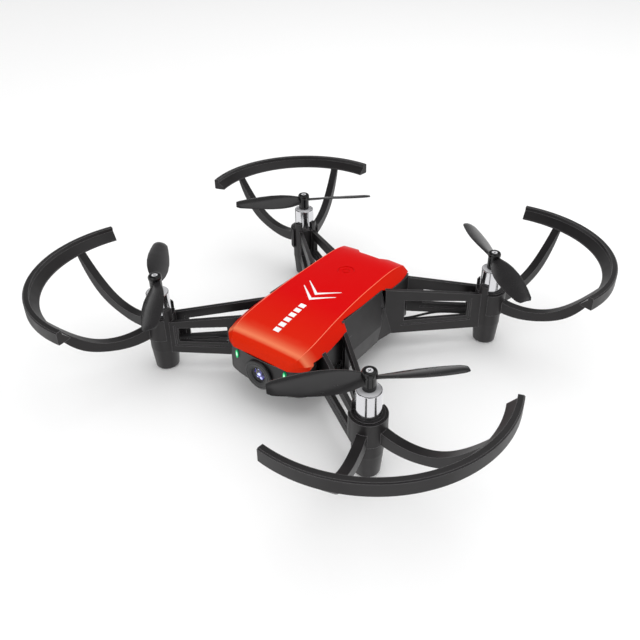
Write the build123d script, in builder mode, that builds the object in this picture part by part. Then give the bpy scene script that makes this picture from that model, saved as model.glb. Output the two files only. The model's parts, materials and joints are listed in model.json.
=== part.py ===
from build123d import *
import math
import os

# Mini palm drone with four guarded rotors. Millimetres, +Z up, nose towards -Y.
# The origin lies on the ground plane, at the centre of the rectangle of the four rotors.

# Rotors and motors
ROTOR_X = 47.3
ROTOR_Y = 44.5
CAN_R = 4.25
CAN_WALL = 0.3
CAN_BOTTOM = 13.6
CAN_TOP = 33.6
CAN_LID = 0.8
SHAFT_R = 0.5
SHAFT_HOLE_R = 0.55
SHAFT_TOP = 38.6
MAGNET_R = 2.0
WINDING_INNER_R = 2.3
WINDING_OUTER_R = 3.5

# Propellers
HUB_R = 2.3
HUB_BOTTOM = 33.8
HUB_CAP_Z = 39.0
HUB_CAP_OUT = 0.25
HUB_TOP = 41.0
BLADE_Z = 37.7
BLADE_TIP = 31.0
PROP_SCREW_R = 1.1
PROP_SCREW_SEAT = 0.9
PROP_SCREW_SLOT_W = 0.35
PROP_SCREW_SLOT_L = 1.5

# Pods at the arm ends
POD_R = 5.5
POD_BOTTOM = 9.5
POD_RIM = 24.6
EAR_TOP = 27.9
EAR_FRONT = -2.2
EAR_SPLIT = 5.0
FOOT_BOTTOM_R = 4.5
FOOT_TOP_R = 5.2
FOOT_CHAMFER = 0.6
BORE_R = 4.3
BORE_BOTTOM = 12.6

# Propeller guards
GUARD_R = 45.0
GUARD_TOP = 42.6
GUARD_BOTTOM = 37.8
GUARD_LIP = 2.1
GUARD_FOOT = 4.8
GUARD_SPAN = 115.0
GUARD_BISECTOR = 39.0
SPOKE_ANGLE = 35.5
SPOKE_WIDTH = 3.4
CLIP_GAP = 0.06
CLIP_WALL = 0.85
CLIP_BOTTOM = 15.0
CLIP_TOP = 24.2
CLIP_HALF_SPAN = 111.0
CLIP_REACH = 14.0

# Body
BODY_REAR = 31.0
FLOOR_Z = 9.0
FLOOR_T = 1.4
BELLY_Z = 7.5
FLOOR_INSET = 0.6
BELLY_INSET = 0.8
WALL = 1.2
TUB_X = 14.2
BOARD_Z = 24.0
BOARD_T = 1.0
ROOF_Z = 21.7
ARM_PLATE_T = 1.6
CAMERA_Z = 15.3
LED_X = 11.0
LED_Z = 19.0
NOTCH_Y = 3.0
LENS_CURVE_R = 4.2
LENS_FRONT_Y = -42.9

# Battery
BATTERY_HALF_W = 11.0
BATTERY_FRONT = -10.0
BATTERY_REAR = 30.6
BATTERY_BOTTOM = 10.6
BATTERY_TOP = 21.4
RAIL_GAP = 0.1

# Power button
BUTTON_Y = 11.0
BUTTON_R = 3.2
BUTTON_GAP = 0.1
BUTTON_TOP = 32.2

# Motor leads
LEAD_R = 0.35
LEAD_Z = 13.05
LEAD_SLOT_W = 2.8
LEAD_SLOT_H = 1.8
LEAD_SHIFT = 0.45

# Screws that hold belly, frame and top shell together: post centres and radii
POSTS = [(15.95, -25.0), (-15.95, -25.0), (15.95, 22.0), (-15.95, 22.0)]
POST_R = 1.6
SCREW_R = 0.75
SCREW_HOLE_R = 0.8
SCREW_HEAD_R = 1.5
SCREW_TIP = 17.0
BOARD_HOLES = [(12.0, -18.0), (-12.0, -18.0), (12.0, 20.0), (-12.0, 20.0)]

CORNERS = {
    "front_left": (1, -1),
    "front_right": (-1, -1),
    "rear_left": (1, 1),
    "rear_right": (-1, 1),
}

os.makedirs("parts", exist_ok=True)


def write(builder, label):
    """Label a finished piece and write it as one STEP file."""
    builder.part.label = label
    export_step(builder.part, f"parts/{label}.step")


def rotor_centre(sx, sy):
    return sx * ROTOR_X, sy * ROTOR_Y


def outward_angle(sx, sy):
    """Direction of a guard's bisector, in degrees from +X."""
    angle = math.radians(GUARD_BISECTOR)
    return math.degrees(math.atan2(sy * math.sin(angle), sx * math.cos(angle)))


# ---------------------------------------------------------------- top shell

# Body stations: y, half width and height of the top crease, share of the side facet's full width.
STATIONS = [
    (-41.8, 12.3, 21.7, 0.05),
    (-41.0, 13.2, 23.8, 0.20),
    (-39.4, 14.7, 25.6, 0.48),
    (-36.4, 15.4, 26.9, 0.88),
    (-32.0, 15.8, 27.9, 1.0),
    (-26.0, 15.7, 29.0, 1.0),
    (-18.0, 15.3, 30.1, 1.0),
    (-8.0, 14.9, 31.1, 1.0),
    (4.0, 14.5, 31.7, 1.0),
    (16.0, 14.3, 31.9, 1.0),
    (25.0, 14.3, 31.6, 1.0),
    (BODY_REAR, 14.7, 30.1, 0.8),
]
FACET_W = 4.2
FACET_H = 3.6
CROWN = 0.5
SKIRT_BOTTOM = 16.0
SHELL_T = 1.2


def body_form(inset, first, last):
    """Loft of the body's outer form, drawn inwards by inset, between two stations."""
    with BuildPart() as form:
        for y, half, z, share in STATIONS:
            y = min(max(y, first), last)
            a = half - 0.4 * inset
            top = z - inset
            b = half + FACET_W * share - inset
            with BuildSketch(Plane.XZ.offset(-y)):
                with BuildLine():
                    ThreePointArc((-a, top), (0, top + CROWN), (a, top))
                    Polyline(
                        (a, top),
                        (b, top - FACET_H * share),
                        (b + 0.1, SKIRT_BOTTOM),
                        (-b - 0.1, SKIRT_BOTTOM),
                        (-b, top - FACET_H * share),
                        (-a, top),
                    )
                make_face()
        loft()
    return form.part


# Skirt line in side view: deep front facets, a step behind them, a narrow strip, the rear flaps.
SKIRT_LINE = [
    (-50, 21.6),
    (-41.6, 21.8),
    (-37.2, 22.2),
    (-35.2, 24.4),
    (-16.4, 26.4),
    (-14.2, 29.5),
    (10.6, 29.6),
    (14.2, 28.2),
    (40, 28.2),
]
SHELL_GAP = 0.1


def skirt_cut(drop):
    """Everything under the skirt line, drawn down by drop."""
    with BuildPart() as cut:
        with BuildSketch(Plane.YZ):
            Polygon((-50, 0), *[(y, z - drop) for y, z in SKIRT_LINE], (40, 0), align=None)
        extrude(amount=30, both=True)
    return cut.part


with BuildPart() as shell_zone:
    # The space that the top shell fills or covers, a little enlarged.
    add(body_form(-SHELL_GAP, STATIONS[0][0] - SHELL_GAP, BODY_REAR + SHELL_GAP))
    add(skirt_cut(SHELL_GAP), mode=Mode.SUBTRACT)

with BuildPart() as post_tops:
    with BuildSketch(Plane.XY.offset(SKIRT_BOTTOM + 0.5)):
        with Locations(*POSTS):
            Circle(POST_R)
    extrude(amount=20)
    add(body_form(SHELL_T / 2, STATIONS[0][0], BODY_REAR), mode=Mode.INTERSECT)

with BuildPart() as top_shell:
    add(body_form(0, STATIONS[0][0], BODY_REAR))
    add(body_form(SHELL_T, STATIONS[0][0] + SHELL_T, BODY_REAR - SHELL_T), mode=Mode.SUBTRACT)
    add(skirt_cut(0), mode=Mode.SUBTRACT)
    # Finger notch in the rear edge, above the battery.
    with BuildSketch(Plane.XY.offset(SKIRT_BOTTOM)):
        Polygon(
            (-7.5, BODY_REAR + 1),
            (-7.5, BODY_REAR),
            (-4.8, BODY_REAR - NOTCH_Y),
            (4.8, BODY_REAR - NOTCH_Y),
            (7.5, BODY_REAR),
            (7.5, BODY_REAR + 1),
            align=None,
        )
    extrude(amount=20, mode=Mode.SUBTRACT)
    # Hole for the power button.
    with Locations((0, BUTTON_Y, 30)):
        Cylinder(BUTTON_R + BUTTON_GAP, 8, mode=Mode.SUBTRACT)
    # Screw posts reach down to the frame floor.
    add(post_tops.part)
    with BuildSketch(Plane.XY.offset(FLOOR_Z + FLOOR_T)):
        with Locations(*POSTS):
            Circle(POST_R)
    extrude(amount=SKIRT_BOTTOM + 1 - FLOOR_Z - FLOOR_T)
    with BuildSketch(Plane.XY.offset(FLOOR_Z + FLOOR_T)):
        with Locations(*POSTS):
            Circle(SCREW_HOLE_R)
    extrude(amount=SCREW_TIP + 0.6 - FLOOR_Z - FLOOR_T, mode=Mode.SUBTRACT)
write(top_shell, "top_shell")

# ---------------------------------------------------------------- main frame

# Arm plates in the +X, +Y quarter's plan: body end, pod end, heights at the body and at the pod
# (bottom, window's lower and upper edge, top), and where the window starts and ends along the plate.
FRONT_PLATES = (
    ((18.6, 16.4), (45.2, 40.5), (8.8, 12.2, 23.2, 27.0), (8.2, 12.1, 19.8, 23.3), (0.12, 0.835)),
    ((17.0, 28.4), (42.6, 45.0), (8.0, 13.5, 21.4, 26.0), (8.4, 13.6, 19.4, 22.1), (0.27, 0.89)),
)
REAR_PLATES = (
    ((18.6, 12.9), (45.9, 40.0), (9.0, 14.6, 24.6, 29.4), (7.9, 14.1, 20.4, 23.6), (0.175, 0.85)),
    ((17.0, 28.2), (42.6, 44.4), (11.0, 15.3, 22.2, 27.4), (10.6, 15.0, 20.2, 24.0), (0.265, 0.85)),
)
PLATE_ROOT = 1.0
WEB_REACH = 3.0
WEB_T = 1.2
GROOVE_W = 0.6
GROOVE_DEPTH = 0.3
GROOVE_BELOW = 2.2
GROOVE_OUT = 1.6
GROOVE_RISE = 1.2


def plates_of(sy):
    return REAR_PLATES if sy > 0 else FRONT_PLATES


def plate_side(plate, sx, sy):
    """Side plane of an arm plate, running along it from its body end, and the plate's length."""
    (x0, y0), (x1, y1) = plate[:2]
    length = math.hypot(x1 - x0, y1 - y0)
    along = Vector(sx * (x1 - x0), sy * (y1 - y0), 0) / length
    side = Plane(
        origin=(sx * x0, sy * y0, 0),
        x_dir=along,
        z_dir=along.cross(Vector(0, 0, 1)),
    )
    return side, length


def arm_plate(plate, sx, sy):
    """One upright arm plate with its window and the L-shaped groove that frames it."""
    side, length = plate_side(plate, sx, sy)
    at_body, at_pod, window = plate[2:]

    def height(level, s):
        """Height of one of the plate's four lines at a distance s along it."""
        return at_body[level] + (at_pod[level] - at_body[level]) * s / length

    w0 = window[0] * length
    w1 = window[1] * length
    g0 = w0 - PLATE_ROOT
    g1 = w1 + GROOVE_OUT
    low0 = height(1, g0) - GROOVE_BELOW
    low1 = height(1, g1) - GROOVE_BELOW
    high1 = height(2, g1) + GROOVE_RISE
    with BuildPart() as plate_part:
        with BuildSketch(side):
            Polygon(
                (-PLATE_ROOT, height(0, 0)),
                (length, height(0, length)),
                (length, height(3, length)),
                (-PLATE_ROOT, height(3, 0)),
                align=None,
            )
            Polygon(
                (w0, height(1, w0)),
                (w1, height(1, w1)),
                (w1, height(2, w1)),
                (w0, height(2, w0)),
                align=None,
                mode=Mode.SUBTRACT,
            )
        extrude(amount=ARM_PLATE_T / 2, both=True)
        for face in (ARM_PLATE_T / 2 - GROOVE_DEPTH, -ARM_PLATE_T / 2):
            with BuildSketch(side.offset(face)):
                Polygon(
                    (g0, low0),
                    (g1, low1),
                    (g1, high1),
                    (g1 - GROOVE_W, high1),
                    (g1 - GROOVE_W, low1 + GROOVE_W),
                    (g0, low0 + GROOVE_W),
                    align=None,
                )
            extrude(amount=GROOVE_DEPTH, mode=Mode.SUBTRACT)
    return plate_part.part


def rear_root(sx):
    """Three-cornered web from the side panel's slanted rear edge to the rear arm's inner plate."""
    side = plate_side(REAR_PLATES[0], sx, 1)[0]
    low = REAR_PLATES[0][2][0] + 0.2
    on_plate = side.origin + side.x_dir * WEB_REACH
    corner = Vector(sx * (PANEL_LOW_X - 0.2), PANEL_REAR_LOW, low)
    foot = Vector(on_plate.X, on_plate.Y, low)
    head = Vector(sx * (PANEL_TOP_X - 0.2), PANEL_REAR, PANEL_TOP - 0.6)
    flat = Plane(origin=corner, x_dir=foot - corner, z_dir=(foot - corner).cross(head - corner))
    with BuildPart() as web:
        with BuildSketch(flat):
            Polygon(*[tuple(flat.to_local_coords(point))[:2] for point in (corner, foot, head)], align=None)
        extrude(amount=-sx * WEB_T)
    return web.part


def pod(sx, sy):
    """Solid motor pod: tapered foot and cup with two raised ears."""
    x, y = rotor_centre(sx, sy)
    turn = outward_angle(sx, sy)
    axis = Plane(origin=(x, y, 0), x_dir=Vector(1, 0, 0).rotate(Axis.Z, turn), z_dir=(0, 0, 1))
    with BuildPart() as pod_part:
        with BuildSketch(Plane(origin=(x, y, 0), x_dir=axis.x_dir, z_dir=axis.y_dir * -1)):
            Polygon(
                (0, 0),
                (FOOT_BOTTOM_R - FOOT_CHAMFER, 0),
                (FOOT_BOTTOM_R, FOOT_CHAMFER),
                (FOOT_TOP_R, POD_BOTTOM - 0.8),
                (POD_R - 0.2, POD_BOTTOM),
                (POD_R, EAR_TOP - 0.5),
                (POD_R - 0.5, EAR_TOP),
                (0, EAR_TOP),
                align=None,
            )
        revolve(axis=Axis((x, y, 0), (0, 0, 1)))
        # The rim is low all round except for two ears beside the arm.
        with BuildSketch(axis.offset(POD_RIM)):
            with Locations((EAR_FRONT + POD_R, 0)):
                Rectangle(2 * POD_R, 3 * POD_R)
            with Locations((EAR_FRONT - POD_R / 2, 0)):
                Rectangle(POD_R + 1, EAR_SPLIT)
        extrude(amount=EAR_TOP, mode=Mode.SUBTRACT)
    return pod_part.part


def pod_hollow(sx, sy):
    """Motor bore of a pod, with the slot at its foot that lets the leads out towards the body."""
    x, y = rotor_centre(sx, sy)
    away = Vector(1, 0, 0).rotate(Axis.Z, outward_angle(sx, sy))
    with BuildPart() as hollow:
        with BuildSketch(Plane.XY.offset(BORE_BOTTOM)):
            with Locations((x, y)):
                Circle(BORE_R)
        extrude(amount=20)
        with BuildSketch(Plane(origin=(x, y, BORE_BOTTOM), x_dir=away, z_dir=(0, 0, 1))):
            with Locations((-(POD_R + 1.5) / 2, 0)):
                Rectangle(POD_R + 1.5, LEAD_SLOT_W)
        extrude(amount=LEAD_SLOT_H)
    return hollow.part


PLAN = [
    (0, -41.2),
    (11.5, -40.2),
    (16.3, -37.2),
    (18.6, -33.4),
    (19.0, -12),
    (19.4, -4),
    (19.0, 10),
    (17.6, 29),
    (16.6, BODY_REAR),
]
# Side panel: y range at the top, y of its slanted rear edge at the bottom, outer face in x.
PANEL_FRONT = -15.5
PANEL_REAR = 11.0
PANEL_REAR_LOW = 5.0
PANEL_TOP = 29.4
PANEL_TOP_X = 17.15
PANEL_MID_X = 19.7
PANEL_MID_Z = 16.0
PANEL_LOW_X = 19.3
PANEL_T = 1.4
RIB_T = 1.2
RIB_TOP = 22.0
RIBS_Y = (-12.4, 10.0)
RIB_OUTER_X = 18.6
# Tub and rails round the battery bay, its roof, the front bulkhead and the frame of its mouth.
TUB_MIDDLE_Y = -1.5
TUB_LENGTH = 63.0
RAIL_W = 2.4
RAIL_MIDDLE_Y = 10.0
RAIL_LENGTH = 40.0
ROOF_T = 1.0
ROOF_MIDDLE_Y = 6.5
ROOF_LENGTH = 47.0
BULKHEAD_Y = -32.4
BULKHEAD_H = 12.0
MOUTH_LOW_X = 16.6
MOUTH_TOP_X = 17.4
MOUTH_TOP = 27.6
MOUTH_T = 1.5
MOUTH_NOTCH_X = 8.0
MOUTH_NOTCH_Z = 24.4
BOSS_R = 1.7
BOARD_SCREW_HOLE_R = 0.6
BOARD_SCREW_HOLE_DEPTH = 2.2
# Wall between an arm's two plates, with a hole for the motor leads.
ROOT_WALL_X = 18.2
ROOT_WALL_T = 1.0
# Start and end in y, and top.
ROOT_WALLS = {1: (13.5, 28.4, 28.0), -1: (-28.4, -17.0, 25.5)}
LEAD_ENTRY = {1: 18.0, -1: -20.4}


def plan_outline(inset):
    right = [(x - inset if x else 0, max(min(y, BODY_REAR - inset), -41.2 + inset)) for x, y in PLAN]
    left = [(-x, y) for x, y in reversed(right[1:])]
    return right + left


def side_panel(side):
    """Leaning panel whose rear edge slants forwards towards the floor."""
    with BuildPart() as panel:
        with BuildSketch(Plane.XZ.offset(-PANEL_REAR)):
            Polygon(
                (side * PANEL_TOP_X, PANEL_TOP),
                (side * PANEL_MID_X, PANEL_MID_Z),
                (side * PANEL_LOW_X, FLOOR_Z),
                (side * (PANEL_LOW_X - PANEL_T), FLOOR_Z),
                (side * (PANEL_MID_X - PANEL_T), PANEL_MID_Z),
                (side * (PANEL_TOP_X - PANEL_T), PANEL_TOP),
                align=None,
            )
        extrude(amount=PANEL_REAR - PANEL_FRONT)
        with BuildSketch(Plane.YZ):
            Polygon(
                (PANEL_REAR, PANEL_TOP),
                (PANEL_REAR_LOW, FLOOR_Z),
                (PANEL_REAR + 1, FLOOR_Z),
                (PANEL_REAR + 1, PANEL_TOP),
                align=None,
            )
        extrude(amount=30, both=True, mode=Mode.SUBTRACT)
    return panel.part


with BuildPart() as main_frame:
    with BuildSketch(Plane.XY.offset(FLOOR_Z)):
        Polygon(*plan_outline(FLOOR_INSET), align=None)
    extrude(amount=FLOOR_T)
    # Tub walls on both sides of the battery, with the rails that guide it.
    for side in (1, -1):
        with BuildSketch(Plane.XY.offset(FLOOR_Z)):
            with Locations((side * (TUB_X - WALL / 2), TUB_MIDDLE_Y)):
                Rectangle(WALL, TUB_LENGTH)
        extrude(amount=BOARD_Z - FLOOR_Z)
        with BuildSketch(Plane.XY.offset(FLOOR_Z)):
            with Locations((side * (BATTERY_HALF_W + RAIL_GAP + RAIL_W / 2), RAIL_MIDDLE_Y)):
                Rectangle(RAIL_W, RAIL_LENGTH)
        extrude(amount=ROOF_Z - FLOOR_Z + ROOF_T)
        # Outer side panel between the front and the rear arm.
        add(side_panel(side))
        add(rear_root(side))
        # Ribs tie the side panel and the arm roots to the tub.
        for rib_y in RIBS_Y:
            with BuildSketch(Plane.XZ.offset(-rib_y)):
                Polygon(
                    (side * (TUB_X - 0.5), FLOOR_Z),
                    (side * RIB_OUTER_X, FLOOR_Z),
                    (side * RIB_OUTER_X, RIB_TOP),
                    (side * (TUB_X - 0.5), RIB_TOP),
                    align=None,
                )
            extrude(amount=RIB_T / 2, both=True)
        # Walls between the arm plates' roots.
        for sy, (wall_start, wall_end, wall_top) in ROOT_WALLS.items():
            with BuildSketch(Plane.XY.offset(FLOOR_Z)):
                with Locations((side * ROOT_WALL_X, (wall_start + wall_end) / 2)):
                    Rectangle(ROOT_WALL_T, wall_end - wall_start)
            extrude(amount=wall_top - FLOOR_Z)
            with Locations((side * ROOT_WALL_X, LEAD_ENTRY[sy], LEAD_Z + 0.8)):
                Box(ROOT_WALL_T + 0.4, 3.6, 2.6, mode=Mode.SUBTRACT)
    # Roof of the battery bay.
    with BuildSketch(Plane.XY.offset(ROOF_Z)):
        with Locations((0, ROOF_MIDDLE_Y)):
            Rectangle(2 * TUB_X - 0.4, ROOF_LENGTH)
    extrude(amount=ROOF_T)
    # Front bulkhead between the battery bay and the camera.
    with BuildSketch(Plane.XY.offset(FLOOR_Z)):
        with Locations((0, BULKHEAD_Y)):
            Rectangle(2 * TUB_X, WALL)
    extrude(amount=BULKHEAD_H)
    # Rear frame around the battery's mouth.
    with BuildSketch(Plane.XZ.offset(-(BODY_REAR - 0.3))):
        Polygon(
            (-MOUTH_LOW_X, FLOOR_Z),
            (MOUTH_LOW_X, FLOOR_Z),
            (MOUTH_TOP_X, MOUTH_TOP),
            (-MOUTH_TOP_X, MOUTH_TOP),
            align=None,
        )
        Polygon(
            (-BATTERY_HALF_W - RAIL_GAP, FLOOR_Z + FLOOR_T),
            (BATTERY_HALF_W + RAIL_GAP, FLOOR_Z + FLOOR_T),
            (BATTERY_HALF_W + RAIL_GAP, ROOF_Z),
            (-BATTERY_HALF_W - RAIL_GAP, ROOF_Z),
            align=None,
            mode=Mode.SUBTRACT,
        )
        with Locations((0, MOUTH_NOTCH_Z + 3)):
            Rectangle(2 * MOUTH_NOTCH_X, 6, mode=Mode.SUBTRACT)
    extrude(amount=MOUTH_T)
    # Board bosses on the tub walls.
    with BuildSketch(Plane.XY.offset(ROOF_Z)):
        with Locations(*BOARD_HOLES):
            Circle(BOSS_R)
    extrude(amount=BOARD_Z - ROOF_Z)
    for sx, sy in CORNERS.values():
        for plate in plates_of(sy):
            add(arm_plate(plate, sx, sy))
    for sx, sy in CORNERS.values():
        add(pod(sx, sy))
        add(pod_hollow(sx, sy), mode=Mode.SUBTRACT)
    with BuildSketch(Plane.XY.offset(FLOOR_Z)):
        with Locations(*POSTS):
            Circle(SCREW_HOLE_R + 0.1)
    extrude(amount=FLOOR_T, mode=Mode.SUBTRACT)
    with BuildSketch(Plane.XY.offset(BOARD_Z)):
        with Locations(*BOARD_HOLES):
            Circle(BOARD_SCREW_HOLE_R)
    extrude(amount=-BOARD_SCREW_HOLE_DEPTH, mode=Mode.SUBTRACT)
    add(shell_zone.part, mode=Mode.SUBTRACT)
    # The arm plates stop above the belly cover.
    with BuildSketch(Plane.XY.offset(FLOOR_Z)):
        Polygon(*plan_outline(BELLY_INSET - 0.1), align=None)
    extrude(amount=BELLY_Z - FLOOR_Z - 1, mode=Mode.SUBTRACT)
write(main_frame, "main_frame")

# ---------------------------------------------------------------- belly and nose

with BuildPart() as belly_cover:
    with BuildSketch(Plane.XY.offset(FLOOR_Z)):
        Polygon(*plan_outline(BELLY_INSET), align=None)
    extrude(amount=BELLY_Z - FLOOR_Z, taper=38)
    for px, py in POSTS:
        with BuildSketch(Plane.XY.offset(BELLY_Z)):
            with Locations((px, py)):
                Circle(SCREW_HEAD_R + 0.1)
        extrude(amount=FLOOR_Z - BELLY_Z, mode=Mode.SUBTRACT)
    # Vent slots under the board.
    with BuildSketch(Plane.XY.offset(BELLY_Z)):
        with GridLocations(0, 3.2, 1, 5):
            SlotOverall(14, 1.2)
    extrude(amount=0.8, mode=Mode.SUBTRACT)
write(belly_cover, "belly_cover")


NOSE_SIDE_X = 18.6
NOSE_SIDE_Y = -34.8
NOSE_BACK_Y = -33.4
NOSE_CORNER_X = 12.8
NOSE_CORNER_Y = -40.9
NOSE_FRONT_Y = -42.4
NOSE_CHEEK = (16.6, -39.0)
NOSE_H = 13.0
NOSE_T = 1.5
LED_HALF_W = 0.6
LED_HALF_H = 1.8
LED_GAP = 0.05
CAMERA_HOLE_R = 4.6


def nose_block(inset):
    """Front block with a curved face, from the frame floor up to the shell's lower edge."""
    with BuildPart() as block:
        with BuildSketch(Plane.XY.offset(FLOOR_Z + FLOOR_T)):
            with BuildLine():
                right = NOSE_SIDE_X - inset
                corner = NOSE_CORNER_X - inset / 2
                front = NOSE_CORNER_Y + inset
                cheek_x = NOSE_CHEEK[0] - 0.8 * inset
                cheek_y = NOSE_CHEEK[1] + 0.8 * inset
                ThreePointArc((-corner, front), (0, NOSE_FRONT_Y + inset), (corner, front))
                ThreePointArc((corner, front), (cheek_x, cheek_y), (right, NOSE_SIDE_Y))
                Polyline((right, NOSE_SIDE_Y), (right, NOSE_BACK_Y), (-right, NOSE_BACK_Y), (-right, NOSE_SIDE_Y))
                ThreePointArc((-right, NOSE_SIDE_Y), (-cheek_x, cheek_y), (-corner, front))
            make_face()
        extrude(amount=NOSE_H)
    return block.part


with BuildPart() as nose_plate:
    add(nose_block(0))
    add(nose_block(NOSE_T), mode=Mode.SUBTRACT)
    # The top edge follows the shell's skirt line.
    with BuildSketch(Plane.YZ):
        Polygon(*[(y, z - SHELL_GAP) for y, z in SKIRT_LINE[:4]], (-30, 24.2), (-30, 40), (-50, 40), align=None)
    extrude(amount=30, both=True, mode=Mode.SUBTRACT)
    # Holes for the camera barrel and the two light pipes.
    with BuildSketch(Plane.XZ.offset(30)):
        with Locations((0, CAMERA_Z)):
            Circle(CAMERA_HOLE_R)
        with Locations((LED_X, LED_Z), (-LED_X, LED_Z)):
            Ellipse(LED_HALF_W + LED_GAP, LED_HALF_H + LED_GAP)
    extrude(amount=20, mode=Mode.SUBTRACT)
write(nose_plate, "nose_plate")


def turned_on_y(points):
    """Ring or disc turned about the camera axis, from (radius, y) points."""
    with BuildPart() as turned:
        with BuildSketch(Plane(origin=(0, 0, CAMERA_Z), x_dir=(1, 0, 0), z_dir=(0, 0, 1))):
            Polygon(*points, align=None)
        revolve(axis=Axis((0, 0, CAMERA_Z), (0, 1, 0)))
    return turned.part


with BuildPart() as camera_bezel:
    add(
        turned_on_y(
            [
                (4.3, -40.9),
                (4.3, -42.7),
                (3.1, -42.7),
                (3.3, -43.1),
                (3.8, -43.3),
                (5.4, -43.4),
                (5.8, -43.3),
                (5.95, -43.0),
                (5.95, -42.45),
                (4.55, -42.45),
                (4.55, -40.9),
            ]
        )
    )
write(camera_bezel, "camera_bezel")

with BuildPart() as camera_barrel:
    add(
        turned_on_y(
            [
                (0, -36.4),
                (4.2, -36.4),
                (4.2, -42.6),
                (3.0, -42.6),
                (2.5, -42.2),
                (2.5, -40.4),
                (0, -40.4),
            ]
        )
    )
write(camera_barrel, "camera_barrel")

with BuildPart() as camera_lens:
    with Locations((0, LENS_FRONT_Y + LENS_CURVE_R, CAMERA_Z)):
        Sphere(LENS_CURVE_R)
    with BuildSketch(Plane.XZ.offset(40.5)):
        with Locations((0, CAMERA_Z)):
            Circle(2.4)
    extrude(amount=4, mode=Mode.INTERSECT)
write(camera_lens, "camera_lens")

with BuildPart() as camera_board:
    with Locations((0, -35.9, CAMERA_Z)):
        Box(11, 0.8, 9)
write(camera_board, "camera_board")

with BuildPart() as camera_flex:
    # Flat ribbon from the camera board up and back to the main board.
    with BuildSketch(Plane.YZ):
        with BuildLine():
            Polyline((-35.4, 17.0), (-34.2, 17.0), (-34.2, 25.2), (-22.0, 25.2))
        trace(line_width=0.24)
    extrude(amount=3, both=True)
write(camera_flex, "camera_flex")

for name, side in (("led_left", 1), ("led_right", -1)):
    with BuildPart() as led:
        with BuildSketch(Plane.XZ.offset(37.6)):
            with Locations((side * LED_X, LED_Z)):
                Ellipse(LED_HALF_W, LED_HALF_H)
        extrude(amount=4.2)
        with BuildSketch(Plane.XZ.offset(36.8)):
            with Locations((side * LED_X, LED_Z)):
                Rectangle(2.6, 4.2)
        extrude(amount=1.0)
    write(led, name)

# ---------------------------------------------------------------- electronics

BOARD_TOP = BOARD_Z + BOARD_T

with BuildPart() as main_board:
    with BuildSketch(Plane.XY.offset(BOARD_Z)):
        with Locations((0, 1.0)):
            RectangleRounded(27.6, 44, 2)
        with Locations(*BOARD_HOLES):
            Circle(0.8, mode=Mode.SUBTRACT)
    extrude(amount=BOARD_T)
write(main_board, "main_board")


def block_on_board(x, y, width, depth, height, z=BOARD_TOP):
    with Locations((x, y, z + height / 2)):
        Box(width, depth, height)


with BuildPart() as processor:
    block_on_board(0, -4, 7, 7, 1.0)
write(processor, "processor")

with BuildPart() as wifi_module:
    block_on_board(0, -14, 12, 9, 1.6)
write(wifi_module, "wifi_module")

with BuildPart() as gyro_sensor:
    block_on_board(7.5, -3, 3, 3, 0.9)
write(gyro_sensor, "gyro_sensor")

with BuildPart() as pressure_sensor:
    block_on_board(-7.5, -3, 3.8, 3.6, 0.95)
write(pressure_sensor, "pressure_sensor")

with BuildPart() as motor_drivers:
    for mx, my in ((9.5, -9.5), (-9.5, -9.5), (9.5, 12.5), (-9.5, 12.5)):
        block_on_board(mx, my, 3, 2.6, 1.1)
write(motor_drivers, "motor_drivers")

with BuildPart() as tact_switch:
    block_on_board(0, BUTTON_Y, 5.2, 5.2, 1.6)
    with Locations((0, BUTTON_Y, BOARD_TOP + 1.6 + 0.35)):
        Cylinder(1.5, 0.7)
write(tact_switch, "tact_switch")

with BuildPart() as antenna:
    with BuildSketch(Plane.XY.offset(BOARD_TOP)):
        with BuildLine():
            Polyline((9.5, -19), (-9.5, -19), (-9.5, -17))
        trace(line_width=0.8)
    extrude(amount=0.5)
write(antenna, "antenna")

with BuildPart() as battery_connector:
    # Socket with two slots that the battery's blades enter.
    with Locations((0, BATTERY_FRONT - 4.5, 15.5)):
        Box(12, 5, 7)
    with Locations((2.5, BATTERY_FRONT - 3.6, 15.5), (-2.5, BATTERY_FRONT - 3.6, 15.5)):
        Box(1.2, 4.4, 4.0, mode=Mode.SUBTRACT)
    with Locations((0, BATTERY_FRONT - 4.5, 11.2)):
        Box(8, 4, 1.6)
write(battery_connector, "battery_connector")

with BuildPart() as battery_cable:
    for side in (1, -1):
        with BuildLine() as wire:
            FilletPolyline(
                (side * 3, BATTERY_FRONT - 7.0, 15.5),
                (side * 3, BATTERY_FRONT - 9.5, 15.5),
                (side * 3, BATTERY_FRONT - 9.5, 24.0),
                radius=1.5,
            )
        with BuildSketch(Plane(origin=wire.line @ 0, z_dir=wire.line % 0)):
            Circle(0.7)
        sweep(path=wire.line)
write(battery_cable, "battery_cable")

# ---------------------------------------------------------------- battery

with BuildPart() as battery_case:
    depth = BATTERY_REAR - BATTERY_FRONT
    middle = (BATTERY_REAR + BATTERY_FRONT) / 2
    height = BATTERY_TOP - BATTERY_BOTTOM
    with BuildSketch(Plane.XZ.offset(-BATTERY_REAR)):
        with Locations((0, BATTERY_BOTTOM + height / 2)):
            RectangleRounded(2 * BATTERY_HALF_W, height, 1.5)
    extrude(amount=depth)
    with BuildSketch(Plane.XZ.offset(-(BATTERY_REAR - 1.6))):
        with Locations((0, BATTERY_BOTTOM + height / 2)):
            RectangleRounded(2 * BATTERY_HALF_W - 1.6, height - 1.6, 1.0)
    extrude(amount=depth - 2.6, mode=Mode.SUBTRACT)
    # Openings for the contact blades.
    with Locations((2.5, BATTERY_FRONT, 15.5), (-2.5, BATTERY_FRONT, 15.5)):
        Box(0.8, 4, 3.2, mode=Mode.SUBTRACT)
    # Grip ribs across the rear face.
    with Locations(*[(0, BATTERY_REAR + 0.2, 13.4 + 1.4 * i) for i in range(4)]):
        Box(13, 0.6, 0.6)
write(battery_case, "battery_case")

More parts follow.
